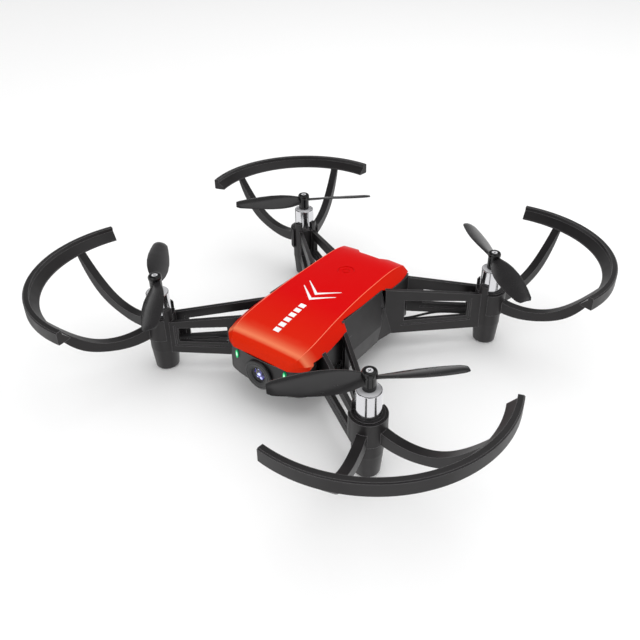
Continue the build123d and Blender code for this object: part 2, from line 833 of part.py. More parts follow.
with BuildPart() as battery_cell:
    with BuildSketch(Plane.XZ.offset(-(BATTERY_REAR - 2.0))):
        with Locations((0, BATTERY_BOTTOM + height / 2)):
            RectangleRounded(19.6, 8.4, 1.8)
    extrude(amount=depth - 6.5)
write(battery_cell, "battery_cell")

with BuildPart() as battery_contacts:
    with Locations((2.5, BATTERY_FRONT - 0.2, 15.5), (-2.5, BATTERY_FRONT - 0.2, 15.5)):
        Box(0.6, 5.6, 3.0)
write(battery_contacts, "battery_contacts")

# ---------------------------------------------------------------- power button

with BuildPart() as power_button:
    with BuildSketch(Plane.XY.offset(BUTTON_TOP)):
        with Locations((0, BUTTON_Y)):
            Circle(BUTTON_R)
    extrude(amount=-2.6)
    with BuildSketch(Plane.XY.offset(BUTTON_TOP - 2.6)):
        with Locations((0, BUTTON_Y)):
            Circle(BUTTON_R + 0.9)
    extrude(amount=-0.7)
    with BuildSketch(Plane.XY.offset(BUTTON_TOP - 3.3)):
        with Locations((0, BUTTON_Y)):
            Circle(1.0)
    extrude(amount=-(BUTTON_TOP - 3.3 - (BOARD_TOP + 2.3 + 0.45)))
    # Power mark: a broken ring and a bar, sunk into the cap.
    with BuildSketch(Plane.XY.offset(BUTTON_TOP - 0.2)):
        with Locations((0, BUTTON_Y)):
            Circle(1.6)
            Circle(1.2, mode=Mode.SUBTRACT)
            with Locations((0, 1.3)):
                Rectangle(1.2, 1.6, mode=Mode.SUBTRACT)
                Rectangle(0.4, 1.5)
    extrude(amount=0.2, mode=Mode.SUBTRACT)
write(power_button, "power_button")

# ---------------------------------------------------------------- screws

with BuildPart() as shell_screws:
    for px, py in POSTS:
        with BuildSketch(Plane.XY.offset(BELLY_Z + 0.3)):
            with Locations((px, py)):
                Circle(SCREW_HEAD_R)
        extrude(amount=FLOOR_Z - BELLY_Z - 0.3)
        with BuildSketch(Plane.XY.offset(BELLY_Z + 0.3)):
            with Locations((px, py)):
                Rectangle(1.8, 0.35)
                Rectangle(0.35, 1.8)
        extrude(amount=0.5, mode=Mode.SUBTRACT)
        with BuildSketch(Plane.XY.offset(FLOOR_Z)):
            with Locations((px, py)):
                Circle(SCREW_R)
        extrude(amount=SCREW_TIP - FLOOR_Z)
write(shell_screws, "shell_screws")

with BuildPart() as board_screws:
    for bx, by in BOARD_HOLES:
        with BuildSketch(Plane.XY.offset(BOARD_TOP)):
            with Locations((bx, by)):
                Circle(1.3)
        extrude(amount=0.8)
        with BuildSketch(Plane.XY.offset(BOARD_TOP + 0.4)):
            with Locations((bx, by)):
                Rectangle(1.6, 0.3)
                Rectangle(0.3, 1.6)
        extrude(amount=0.4, mode=Mode.SUBTRACT)
        with BuildSketch(Plane.XY.offset(BOARD_TOP)):
            with Locations((bx, by)):
                Circle(0.55)
        extrude(amount=-3.0)
write(board_screws, "board_screws")

# ---------------------------------------------------------------- motors


def disc(x, y, low, high, outer, inner=0.0):
    """Upright disc or ring about the line through x, y."""
    with BuildPart() as ring:
        with BuildSketch(Plane.XY.offset(low)):
            with Locations((x, y)):
                Circle(outer)
                if inner:
                    Circle(inner, mode=Mode.SUBTRACT)
        extrude(amount=high - low)
    return ring.part


for corner, (sx, sy) in CORNERS.items():
    x, y = rotor_centre(sx, sy)
    with BuildPart() as motor_can:
        add(disc(x, y, CAN_BOTTOM, CAN_TOP, CAN_R, CAN_R - CAN_WALL))
        add(disc(x, y, CAN_TOP - CAN_LID, CAN_TOP, CAN_R, SHAFT_HOLE_R))
    write(motor_can, f"motor_can_{corner}")

with BuildPart() as motor_magnets:
    for sx, sy in CORNERS.values():
        add(disc(*rotor_centre(sx, sy), 17.4, CAN_TOP - CAN_LID, MAGNET_R, 0.7))
write(motor_magnets, "motor_magnets")

with BuildPart() as motor_end_caps:
    for sx, sy in CORNERS.values():
        add(disc(*rotor_centre(sx, sy), CAN_BOTTOM, CAN_BOTTOM + 1.0, CAN_R - CAN_WALL, SHAFT_HOLE_R))
write(motor_end_caps, "motor_end_caps")

for corner, (sx, sy) in CORNERS.items():
    x, y = rotor_centre(sx, sy)
    away = math.radians(outward_angle(sx, sy))
    out = Vector(math.cos(away), math.sin(away), 0)
    across = Vector(-out.Y, out.X, 0)
    with BuildPart() as motor_leads:
        for shift in (LEAD_SHIFT, -LEAD_SHIFT):
            start = Vector(x, y, LEAD_Z) + out * 1.0 + across * shift
            leaving = Vector(x, y, LEAD_Z) - out * 10 + across * shift
            with BuildLine() as lead:
                Spline(
                    start,
                    leaving,
                    (sx * 30.0, sy * 31.5 + shift, LEAD_Z),
                    (sx * ROOT_WALL_X, LEAD_ENTRY[sy] + shift, LEAD_Z + 0.8),
                    (sx * 16.2, LEAD_ENTRY[sy] * 0.86 + shift, 18.5),
                    (sx * 15.6, sy * 14.6 + shift, 23.6),
                    (sx * 14.3, sy * 14.0 + shift, 26.3),
                    (sx * 12.9, sy * 13.6 + shift, BOARD_TOP + 0.4),
                    tangents=(out * -1, (-sx * 0.5, 0, -0.8)),
                )
            with BuildSketch(Plane(origin=lead.line @ 0, z_dir=lead.line % 0)):
                Circle(LEAD_R)
            sweep(path=lead.line)
    write(motor_leads, f"motor_leads_{corner}")

# ---------------------------------------------------------------- rotors

# Blade sections: radius, chord, pitch in degrees, sweep of the chord's middle.
BLADE_SECTIONS = [
    (1.6, 4.4, 30, 0.0),
    (5.0, 6.4, 28, 0.2),
    (10.0, 8.2, 25, 0.4),
    (16.0, 8.7, 21, 0.5),
    (22.0, 7.9, 17, 0.3),
    (27.0, 6.5, 14, 0.1),
    (30.2, 5.2, 13, 0.0),
    (BLADE_TIP, 4.0, 13, -0.1),
]
BLADE_T = 0.7
CAMBER = 0.08
REST_ANGLES = {"front_left": 44.5, "rear_right": 44.5, "front_right": 135, "rear_left": 135}
# Seen from above, the front-left and rear-right rotors turn clockwise, the others counter-clockwise.
CLOCKWISE = ("front_left", "rear_right")


def blade(x, y, angle, hand):
    """One twisted, cambered blade along the direction angle; hand is 1 for clockwise turning."""
    out = Vector(1, 0, 0).rotate(Axis.Z, angle)
    lead = Vector(0, 0, 1).cross(out)
    with BuildPart() as one:
        for radius, chord, pitch, shift in BLADE_SECTIONS:
            centre = Vector(x, y, BLADE_Z) + out * radius
            with BuildSketch(Plane(origin=centre, x_dir=lead, z_dir=out)):
                tilt = math.radians(-hand * pitch)
                c = math.cos(tilt)
                s = math.sin(tilt)

                def turned(u, v):
                    u = u - hand * shift
                    return (u * c - v * s, u * s + v * c)

                rise = chord * CAMBER
                with BuildLine():
                    ThreePointArc(turned(-chord / 2, 0), turned(0, rise + BLADE_T / 2), turned(chord / 2, 0))
                    ThreePointArc(turned(chord / 2, 0), turned(0, rise - BLADE_T / 2), turned(-chord / 2, 0))
                make_face()
        loft()
    return one.part


for corner, (sx, sy) in CORNERS.items():
    x, y = rotor_centre(sx, sy)
    hand = 1 if corner in CLOCKWISE else -1
    with BuildPart() as propeller:
        add(blade(x, y, REST_ANGLES[corner], hand))
        add(blade(x, y, REST_ANGLES[corner] + 180, hand))
        with BuildSketch(Plane(origin=(x, y, 0), x_dir=(1, 0, 0), z_dir=(0, -1, 0))):
            Polygon(
                (0, HUB_BOTTOM),
                (HUB_R, HUB_BOTTOM),
                (HUB_R, HUB_CAP_Z),
                (HUB_R + HUB_CAP_OUT, HUB_CAP_Z + 0.4),
                (HUB_R + HUB_CAP_OUT, HUB_TOP - 0.8),
                (HUB_R - 0.3, HUB_TOP - 0.15),
                (HUB_R - 0.6, HUB_TOP),
                (0, HUB_TOP),
                align=None,
            )
        revolve(axis=Axis((x, y, 0), (0, 0, 1)))
        with BuildSketch(Plane.XY.offset(HUB_BOTTOM)):
            with Locations((x, y)):
                Circle(SHAFT_R)
        extrude(amount=HUB_TOP - HUB_BOTTOM, mode=Mode.SUBTRACT)
        with BuildSketch(Plane.XY.offset(HUB_TOP - PROP_SCREW_SEAT)):
            with Locations((x, y)):
                Circle(PROP_SCREW_R + 0.05)
        extrude(amount=PROP_SCREW_SEAT, mode=Mode.SUBTRACT)
    write(propeller, f"propeller_{corner}")

    with BuildPart() as motor_shaft:
        add(disc(x, y, CAN_BOTTOM + 0.2, SHAFT_TOP, SHAFT_R))
    write(motor_shaft, f"motor_shaft_{corner}")

    with BuildPart() as motor_winding:
        add(disc(x, y, 15.4, 31.6, WINDING_OUTER_R, WINDING_INNER_R))
        add(disc(x, y, 15.4, 16.6, WINDING_OUTER_R, SHAFT_R))
    write(motor_winding, f"motor_winding_{corner}")

    with BuildPart() as prop_screw:
        add(disc(x, y, SHAFT_TOP + 0.1, HUB_TOP - PROP_SCREW_SEAT, SHAFT_R))
        add(disc(x, y, HUB_TOP - PROP_SCREW_SEAT, HUB_TOP - 0.2, PROP_SCREW_R))
        with BuildSketch(Plane.XY.offset(HUB_TOP - 0.6)):
            with Locations((x, y)):
                Rectangle(PROP_SCREW_SLOT_L, PROP_SCREW_SLOT_W)
                Rectangle(PROP_SCREW_SLOT_W, PROP_SCREW_SLOT_L)
        extrude(amount=0.5, mode=Mode.SUBTRACT)
    write(prop_screw, f"prop_screw_{corner}")

# ---------------------------------------------------------------- propeller guards

# Spoke side view: distance from the rotor axis, height. The top line runs out, the bottom line back.
SPOKE_TOP = [(POD_R + 0.5, 20.4), (12.0, 19.4), (23.5, 21.6), (32.7, 28.4), (43.4, 41.6)]
SPOKE_LOW = [(41.6, 37.9), (37.5, 29.4), (31.0, 21.8), (22.0, 17.2), (13.0, 15.2), (POD_R + 0.5, 15.6)]


def guard_spoke(x, y, angle):
    along = Vector(1, 0, 0).rotate(Axis.Z, angle)
    with BuildPart() as spoke:
        with BuildSketch(Plane(origin=(x, y, 0), x_dir=along, z_dir=along.cross(Vector(0, 0, 1)))):
            with BuildLine():
                Spline(*SPOKE_TOP)
                Line(SPOKE_TOP[-1], SPOKE_LOW[0])
                Spline(*SPOKE_LOW)
                Line(SPOKE_LOW[-1], SPOKE_TOP[0])
            make_face()
        extrude(amount=SPOKE_WIDTH / 2, both=True)
    return spoke.part


def clip_sleeve(x, y, middle):
    """C-shaped clip that snaps round the outer side of the pod."""
    radius = POD_R + CLIP_GAP
    angles = [math.radians(middle + CLIP_HALF_SPAN * k / 6) for k in range(-6, 7)]
    with BuildPart() as sleeve:
        with BuildSketch(Plane.XY.offset(CLIP_BOTTOM)):
            with Locations((x, y)):
                Circle(radius + CLIP_WALL)
                Circle(radius, mode=Mode.SUBTRACT)
            Polygon(
                (x, y),
                *[(x + CLIP_REACH * math.cos(a), y + CLIP_REACH * math.sin(a)) for a in angles],
                align=None,
                mode=Mode.INTERSECT,
            )
        extrude(amount=CLIP_TOP - CLIP_BOTTOM)
    return sleeve.part


for corner, (sx, sy) in CORNERS.items():
    x, y = rotor_centre(sx, sy)
    middle = outward_angle(sx, sy)
    start = Vector(1, 0, 0).rotate(Axis.Z, middle - GUARD_SPAN / 2)
    with BuildPart() as prop_guard:
        with BuildSketch(Plane(origin=(x, y, 0), x_dir=start, z_dir=start.cross(Vector(0, 0, 1)))):
            Polygon(
                (GUARD_R, GUARD_BOTTOM + 0.3),
                (GUARD_R, GUARD_TOP - 0.4),
                (GUARD_R - 0.4, GUARD_TOP),
                (GUARD_R - GUARD_LIP, GUARD_TOP),
                (GUARD_R - GUARD_LIP, GUARD_TOP - 1.5),
                (GUARD_R - GUARD_FOOT, GUARD_BOTTOM + 0.5),
                (GUARD_R - GUARD_FOOT, GUARD_BOTTOM),
                (GUARD_R - 0.3, GUARD_BOTTOM),
                align=None,
            )
        revolve(axis=Axis((x, y, 0), (0, 0, 1)), revolution_arc=GUARD_SPAN)
        add(guard_spoke(x, y, middle + SPOKE_ANGLE))
        add(guard_spoke(x, y, middle - SPOKE_ANGLE))
        add(clip_sleeve(x, y, middle))
    write(prop_guard, f"prop_guard_{corner}")
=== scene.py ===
import json
import math

import bmesh
import bpy
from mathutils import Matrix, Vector
from mathutils.bvhtree import BVHTree


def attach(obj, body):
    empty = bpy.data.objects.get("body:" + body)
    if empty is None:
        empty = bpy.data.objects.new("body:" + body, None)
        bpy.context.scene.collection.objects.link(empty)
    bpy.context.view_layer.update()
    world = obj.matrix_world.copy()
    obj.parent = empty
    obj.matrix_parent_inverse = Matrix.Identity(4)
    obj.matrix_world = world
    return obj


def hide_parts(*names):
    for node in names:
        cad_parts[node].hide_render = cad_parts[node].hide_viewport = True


# Named lengths and profiles are in millimetres, unless a comment says metres.
MM = 0.001
# Centre and half sizes of the light pipes' ovals.
LED_X = 11.0
LED_Z = 19.0
LED_HALF_W = 0.6
LED_HALF_H = 1.8
# Heights between which the propeller screws' slots fade into shade.
SLOT_LOW_Z = 40.5
SLOT_HIGH_Z = 40.7
# Where the painted orange sheen on the top shell's red is full, towards the nose, and where it has faded
# out.
NOSE_SHEEN_FULL_Y = -40.0
NOSE_SHEEN_END_Y = -12.0
# Forward slope at the middle of the painted highlight band across the nose, and how far from it the band
# starts and stops fading.
HIGHLIGHT_BAND_SLOPE = 0.36
HIGHLIGHT_BAND_CORE = 0.02
HIGHLIGHT_BAND_EDGE = 0.17
# Sockets of Blender's colour mix node: factor, the two colours, and the result.
MIX_FACTOR = 0
MIX_FIRST = 6
MIX_SECOND = 7
MIX_RESULT = 2
# Fineness of moulded plastic's grain, and the radius that metal's edges are shaded with.
GRAIN_SCALE = 2600.0
METAL_EDGE = 0.08

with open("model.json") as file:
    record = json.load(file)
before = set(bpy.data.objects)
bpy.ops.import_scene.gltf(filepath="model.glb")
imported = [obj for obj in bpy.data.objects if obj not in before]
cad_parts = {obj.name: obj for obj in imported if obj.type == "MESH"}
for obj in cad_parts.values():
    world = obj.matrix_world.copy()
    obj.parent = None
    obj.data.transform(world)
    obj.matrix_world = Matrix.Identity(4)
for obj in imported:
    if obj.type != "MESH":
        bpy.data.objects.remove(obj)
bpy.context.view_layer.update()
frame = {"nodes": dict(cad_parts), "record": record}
NODES = frame["nodes"]
SLOTS = {row["node"]: row["material_slot"] for row in frame["record"]["subparts"]}
CORNERS = {"front_left": (1, -1), "front_right": (-1, -1), "rear_left": (1, 1), "rear_right": (-1, 1)}


# ------------------------------------------------------------------ materials


class Nodes:
    """Short way to build a node material round one Principled shader."""

    def __init__(self, name):
        self.material = bpy.data.materials.new(name)
        self.material.use_nodes = True
        self.tree = self.material.node_tree
        self.shader = self.tree.nodes["Principled BSDF"]
        self.coords = self.tree.nodes.new("ShaderNodeTexCoord").outputs["Object"]

    def put(self, kind, **settings):
        node = self.tree.nodes.new(kind)
        for key, value in settings.items():
            setattr(node, key, value)
        return node

    def link(self, source, target):
        self.tree.links.new(source, target)

    def set(self, **values):
        for key, value in values.items():
            self.shader.inputs[key.replace("_", " ")].default_value = value

    def noise(self, scale, detail=3.0, rough=0.5, coords=None):
        node = self.put("ShaderNodeTexNoise")
        node.inputs["Scale"].default_value = scale
        node.inputs["Detail"].default_value = detail
        node.inputs["Roughness"].default_value = rough
        self.link(coords or self.coords, node.inputs["Vector"])
        return node.outputs["Fac"]

    def spread(self, source, low, high, start=0.3, end=0.7):
        """Maps a value from start..end to low..high, held level outside."""
        node = self.put("ShaderNodeMapRange")
        node.inputs["From Min"].default_value = start
        node.inputs["From Max"].default_value = end
        node.inputs["To Min"].default_value = low
        node.inputs["To Max"].default_value = high
        self.link(source, node.inputs["Value"])
        return node.outputs["Result"]

    def maths(self, operation, first, second=0.0):
        node = self.put("ShaderNodeMath", operation=operation)
        for value, target in ((first, node.inputs[0]), (second, node.inputs[1])):
            if isinstance(value, float):
                target.default_value = value
            else:
                self.link(value, target)
        return node.outputs[0]

    def mix(self, factor, first, second):
        """Mix of two colours by a socket's value; each colour is a tuple or a socket."""
        node = self.put("ShaderNodeMix", data_type="RGBA")
        self.link(factor, node.inputs[MIX_FACTOR])
        for value, target in ((first, node.inputs[MIX_FIRST]), (second, node.inputs[MIX_SECOND])):
            if isinstance(value, tuple):
                target.default_value = value
            else:
                self.link(value, target)
        return node.outputs[MIX_RESULT]

    def rounded(self, edge):
        node = self.put("ShaderNodeBevel", samples=4)
        node.inputs["Radius"].default_value = edge
        return node.outputs["Normal"]

    def edge_share(self, edge):
        """Near 1 on convex and concave edges, 0 on flat faces."""
        dot = self.put("ShaderNodeVectorMath", operation="DOT_PRODUCT")
        self.link(self.rounded(edge), dot.inputs[0])
        self.link(self.put("ShaderNodeNewGeometry").outputs["Normal"], dot.inputs[1])
        return self.spread(dot.outputs["Value"], 1.0, 0.0, 0.86, 0.985)

    def relief(self, height, strength, distance, edge=0.0):
        """Bump from a height, over edges rounded by edge metres."""
        bump = self.put("ShaderNodeBump")
        bump.inputs["Strength"].default_value = strength
        bump.inputs["Distance"].default_value = distance
        self.link(height, bump.inputs["Height"])
        if edge:
            self.link(self.rounded(edge), bump.inputs["Normal"])
        self.link(bump.outputs["Normal"], self.shader.inputs["Normal"])


def rgb(red, green, blue):
    """Linear colour from display values of 0 to 255."""

    def linear(value):
        value /= 255
        return value / 12.92 if value <= 0.04045 else ((value + 0.055) / 1.055) ** 2.4

    return (linear(red), linear(green), linear(blue), 1.0)


def moulded(name, colour, shade, rough, grain=0.02, edge=0.15 * MM, gloss=0.5, edge_highlight=None):
    """Moulded plastic: slow colour drift, fine grain, and edges rounded in shading so that they catch the
    light; where an edge highlight colour is given, it is painted along the edges as a highlight.
    """
    m = Nodes(name)
    body = m.mix(m.spread(m.noise(55.0), 0.0, 1.0), colour, shade)
    # Painted highlight: the edge highlight colour is mixed in along edges, up to 0.8 of the way.
    if edge_highlight:
        body = m.mix(m.maths("MULTIPLY", m.edge_share(edge), 0.8), body, edge_highlight)
    m.link(body, m.shader.inputs["Base Color"])
    m.link(m.spread(m.noise(240.0, 4.0), rough - 0.04, rough + 0.04), m.shader.inputs["Roughness"])
    m.set(Specular_IOR_Level=gloss)
    if grain or edge:
        m.relief(m.noise(GRAIN_SCALE, 2.0, 0.6), grain, 0.05 * MM, edge)
    return m.material


def metal(name, colour, rough, streak=0.0, metallic=1.0):
    """Metal with fine turned streaks round the vertical."""
    m = Nodes(name)
    m.set(Base_Color=colour, Metallic=metallic)
    stretch = m.put("ShaderNodeMapping")
    stretch.inputs["Scale"].default_value = (1.0, 1.0, 14.0)
    m.link(m.coords, stretch.inputs["Vector"])
    grain = m.noise(900.0, 3.0, 0.6, stretch.outputs["Vector"])
    m.link(m.spread(grain, rough, rough + 0.06), m.shader.inputs["Roughness"])
    m.relief(grain, 0.02 + streak, 0.02 * MM, METAL_EDGE * MM)
    return m.material


def light_pipe():
    """Lit light pipe: a white core that falls off to green and then dark green at its rim."""
    m = Nodes("led_green")
    place = m.put("ShaderNodeSeparateXYZ")
    m.link(m.coords, place.inputs[0])
    across = m.maths("SUBTRACT", m.maths("ABSOLUTE", place.outputs["X"]), LED_X * MM)
    up = m.maths("SUBTRACT", place.outputs["Z"], LED_Z * MM)
    wide = m.maths("POWER", m.maths("ABSOLUTE", m.maths("DIVIDE", across, LED_HALF_W * MM)), 2.0)
    tall = m.maths("POWER", m.maths("ABSOLUTE", m.maths("DIVIDE", up, LED_HALF_H * MM)), 2.0)
    reach = m.maths("ADD", wide, tall)
    halo = m.mix(m.spread(reach, 0.0, 1.0, 0.3, 1.0), rgb(0, 226, 130), rgb(0, 104, 60))
    colour = m.mix(m.spread(reach, 0.0, 1.0, 0.05, 0.4), rgb(236, 255, 246), halo)
    m.link(colour, m.shader.inputs["Emission Color"])
    m.set(Base_Color=rgb(0, 110, 64), Roughness=0.25, Emission_Strength=1.0)
    m.relief(m.noise(900.0), 0.05, 0.05 * MM)
    return m.material


def lens_material():
    """Coated glass: deep blue with a painted violet sheen where it is seen at a slant, and white glints
    painted into its colour and made to glow.
    """
    m = Nodes("lens_coated")
    fade = m.put("ShaderNodeLayerWeight")
    fade.inputs["Blend"].default_value = 0.45
    # Painted sheen: lighter violet where the lens is seen at a slant.
    tint = m.mix(fade.outputs["Facing"], rgb(40, 44, 130), rgb(96, 72, 190))
    cells = m.noise(520.0, 1.0)
    dark = m.mix(m.spread(cells, 0.0, 1.0, 0.44, 0.56), tint, rgb(8, 8, 20))
    # Painted glints: white specks in the colour, which also glow.
    painted_glint = m.spread(m.noise(760.0, 0.0, 0.5), 0.0, 1.0, 0.60, 0.68)
    m.link(m.mix(painted_glint, dark, rgb(205, 215, 255)), m.shader.inputs["Base Color"])
    m.link(m.mix(painted_glint, rgb(0, 0, 0), rgb(170, 180, 255)), m.shader.inputs["Emission Color"])
    m.set(Roughness=0.04, Coat_Weight=1.0, Coat_Roughness=0.02, IOR=1.6, Emission_Strength=0.7)
    return m.material


def board_material():
    """Solder mask with faint copper tracks under it."""
    m = Nodes("solder_mask")
    tracks = m.put("ShaderNodeTexBrick")
    tracks.inputs["Scale"].default_value = 700.0
    tracks.inputs["Mortar Size"].default_value = 0.03
    m.link(m.coords, tracks.inputs["Vector"])
    m.link(m.mix(tracks.outputs["Fac"], rgb(14, 78, 44), rgb(32, 112, 66)), m.shader.inputs["Base Color"])
    m.set(Roughness=0.3)
    m.relief(tracks.outputs["Fac"], 0.2, 0.05 * MM)
    return m.material


def cross_screw():
    """Bright screw head with its cross slot in shade."""
    m = Nodes("cross_screw")
    place = m.put("ShaderNodeSeparateXYZ")
    m.link(m.coords, place.inputs[0])
    raised = m.spread(place.outputs["Z"], 0.0, 1.0, SLOT_LOW_Z * MM, SLOT_HIGH_Z * MM)
    m.link(m.mix(raised, rgb(24, 24, 25), rgb(222, 222, 225)), m.shader.inputs["Base Color"])
    m.link(m.spread(m.noise(900.0), 0.3, 0.38), m.shader.inputs["Roughness"])
    m.set(Metallic=0.2)
    return m.material


def red_shell():
    """Glossy red with a painted orange sheen towards the nose and on the side facets, and a painted warm
    highlight across the nose's roll-over.
    """
    m = Nodes("red_shell")
    place = m.put("ShaderNodeSeparateXYZ")
    m.link(m.coords, place.inputs[0])
    # Painted sheen: orange mixed into the red towards the nose.
    nose = m.spread(place.outputs["Y"], 1.0, 0.0, NOSE_SHEEN_FULL_Y * MM, NOSE_SHEEN_END_Y * MM)
    facing = m.put("ShaderNodeSeparateXYZ")
    m.link(m.put("ShaderNodeNewGeometry").outputs["Normal"], facing.inputs[0])
    # Painted sheen: orange mixed in on the side facets, by how far they face sideways.
    side = m.spread(m.maths("ABSOLUTE", facing.outputs["X"]), 0.0, 0.75, 0.3, 0.8)
    body = m.mix(m.maths("MAXIMUM", nose, side), rgb(206, 0, 2), rgb(208, 38, 8))
    # Painted highlight: a soft warm band across the roll-over of the nose.
    tilt = m.maths("ABSOLUTE", m.maths("ADD", facing.outputs["Y"], HIGHLIGHT_BAND_SLOPE))
    nose_highlight = m.maths("MULTIPLY", m.spread(tilt, 0.5, 0.0, HIGHLIGHT_BAND_CORE, HIGHLIGHT_BAND_EDGE), nose)
    m.link(m.mix(nose_highlight, body, rgb(250, 168, 120)), m.shader.inputs["Base Color"])
    m.link(m.spread(m.noise(240.0, 4.0), 0.3, 0.34), m.shader.inputs["Roughness"])
    m.set(Specular_IOR_Level=0.05)
    return m.material


# Painted highlight: light grey mixed in along the edges of the charcoal and black gloss plastics.
CHARCOAL_EDGE_HIGHLIGHT = rgb(128, 126, 128)
MATERIALS = {
    "red_gloss": red_shell(),
    "charcoal_plastic": moulded(
        "charcoal", rgb(33, 31, 32), rgb(28, 26, 27), 0.4, 0.03, edge=0.3 * MM, gloss=0.4, edge_highlight=CHARCOAL_EDGE_HIGHLIGHT
    ),
    "black_gloss": moulded(
        "black_shiny", rgb(30, 30, 31), rgb(24, 24, 25), 0.35, 0.01, edge=0.1 * MM, edge_highlight=CHARCOAL_EDGE_HIGHLIGHT
    ),
    "propeller_black": moulded("propeller_plastic", rgb(38, 37, 38), rgb(34, 33, 34), 0.24, 0.0, edge=0.0),
    "lens_glass": lens_material(),
    "led_glow": light_pipe(),
    "motor_can": metal("motor_can_steel", rgb(226, 226, 229), 0.1),
    "steel": metal("bright_steel", rgb(190, 190, 192), 0.25),
    "copper": metal("copper_wire", rgb(186, 108, 60), 0.3, 0.2),
    "gold_contact": metal("gold_plate", rgb(214, 170, 84), 0.25),
    "board_green": board_material(),
    "flex_amber": moulded("flex_film", rgb(190, 110, 30), rgb(170, 94, 22), 0.3),
    "chip_black": moulded("chip_epoxy", rgb(30, 30, 31), rgb(24, 24, 25), 0.6, 0.1),
    "white_plastic": moulded("white_nylon", rgb(226, 222, 210), rgb(214, 210, 198), 0.45),
    "wire_black": moulded("wire_sleeve", rgb(26, 26, 27), rgb(20, 20, 21), 0.5, 0.02),
    "cell_foil": metal("cell_pouch", rgb(196, 197, 200), 0.35, 0.1),
    "screw_black": metal("black_screw", rgb(46, 46, 48), 0.35),
}
CAN_LID = metal("motor_lid_satin", rgb(206, 206, 209), 0.5, 0.02, metallic=0.0)
SCREW_BRIGHT = cross_screw()
# Painted highlight: light orange for the beads along the shell's upper creases.
CREASE_HIGHLIGHT = moulded("crease_painted_highlight", rgb(255, 120, 84), rgb(255, 110, 76), 0.35, 0.0, edge=0.0)
HUB_BLACK = moulded("hub_shiny_black", rgb(15, 15, 16), rgb(11, 11, 12), 0.16, 0.002, edge=0.08 * MM)
MARK_WHITE = moulded("printed_white", rgb(244, 243, 243), rgb(236, 236, 236), 0.45)


def dress(obj, *materials):
    """Gives an object its materials; a mesh without any keeps its faces' material numbers."""
    if obj.data.materials:
        obj.data.materials.clear()
    for material in materials:
        obj.data.materials.append(material)


for node_name, obj in NODES.items():
    dress(obj, SCREW_BRIGHT if node_name.startswith("prop_screw") else MATERIALS[SLOTS[node_name]])


# ------------------------------------------------------------------ mesh helpers


# Faces that meet at more than this angle keep a hard edge between them.
SHARP = math.radians(32)
# Points closer than this, in metres, are joined.
WELD = 1e-7
# Stands in for a radius of zero, so that a turned form's end stays a ring.
AXIS_R = 0.002
# Largest share of an edge that a rounded corner takes up.
CORNER_SHARE = 0.45


def solid(name, bm, *materials):
    """Object from a bmesh: outward faces, smooth except across sharp edges."""
    bmesh.ops.remove_doubles(bm, verts=bm.verts, dist=WELD)
    bmesh.ops.recalc_face_normals(bm, faces=bm.faces)
    for face in bm.faces:
        face.smooth = True
    for edge in bm.edges:
        edge.smooth = len(edge.link_faces) == 2 and edge.calc_face_angle(0.0) < SHARP
    mesh = bpy.data.meshes.new(name)
    bm.to_mesh(mesh)
    bm.free()
    obj = bpy.data.objects.new(name, mesh)
    bpy.context.scene.collection.objects.link(obj)
    dress(obj, *materials)
    return obj


def skin(bm, rings, material=0, capped=True):
    """Surface through closed rings of points, in millimetres; its two ends are filled if capped."""
    loops = [[bm.verts.new(Vector(point) * MM) for point in ring] for ring in rings]
    for lower, upper in zip(loops, loops[1:]):
        for k in range(len(lower)):
            j = (k + 1) % len(lower)
            bm.faces.new((lower[k], lower[j], upper[j], upper[k])).material_index = material
    if capped:
        bm.faces.new(loops[0]).material_index = material
        bm.faces.new(list(reversed(loops[-1]))).material_index = material


def lathe(bm, profile, place, sides, material=0):
    """Turned form round the vertical through place, from (radius, z) points that end on the axis."""
    rings = []
    for radius, z in profile:
        radius = max(radius, AXIS_R)
        turn = [2 * math.pi * k / sides for k in range(sides)]
        rings.append([(place[0] + radius * math.cos(t), place[1] + radius * math.sin(t), z) for t in turn])
    skin(bm, rings, material=material)


def soften(profile, radius, steps=3):
    """Profile with each corner between its two ends rounded by a short curve."""
    points = [profile[0]]
    for before, corner, after in zip(profile, profile[1:], profile[2:]):
        here = Vector(corner)
        back = Vector(before) - here
        onward = Vector(after) - here
        reach = min(radius, back.length * CORNER_SHARE, onward.length * CORNER_SHARE)
        start = here + back.normalized() * reach
        end = here + onward.normalized() * reach
        for k in range(steps + 1):
            t = k / steps
            points.append(tuple(start * (1 - t) ** 2 + here * 2 * t * (1 - t) + end * t**2))
    points.append(profile[-1])
    return points


# ------------------------------------------------------------------ motors and propellers

# Motor axes, and the cans and their lids.
ROTOR_X = 47.3
ROTOR_Y = 44.5
CAN_R = 4.25
CAN_LOW = 13.62
CAN_TOP = 33.6
CAN_ROUND = 0.16
CAN_SIDES = 96
LID_R = 3.92
LID_FLAT_R = 3.5
LID_ROUND = 0.06


def rotor_centre(corner):
    """Place of a motor's axis in plan."""
    sx, sy = CORNERS[corner]
    return (sx * ROTOR_X, sy * ROTOR_Y)


